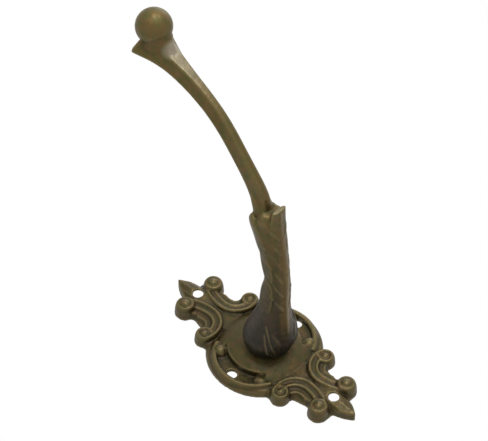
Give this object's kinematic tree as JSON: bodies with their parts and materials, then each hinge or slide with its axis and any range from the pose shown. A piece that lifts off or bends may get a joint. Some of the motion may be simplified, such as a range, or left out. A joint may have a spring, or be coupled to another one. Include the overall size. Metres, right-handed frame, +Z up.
{
  "type": "hat and coat hook",
  "caption": "Ornate cast hat and coat hook: a long leaf-sheathed arm with a ball tip on a scrolled, screw-fixed wall plate.",
  "frame": {"origin": "middle of the plate's back, on the wall, midway between its screw holes", "axes": "+Y into the wall, so the hook stands out along -Y; +Z up along the plate's long axis; +X to the right for someone facing the wall"},
  "size_m": [0.052, 0.156, 0.1276],
  "materials": {
    "back_plate": "dark antique brass, satin",
    "hook_arm": "dark antique brass, satin",
    "arm_screw": "plain"
  },
  "bodies": {
    "root": {"back_plate": "back_plate", "hook_arm": "hook_arm", "arm_screw": "arm_screw"}
  },
  "joints": []
}
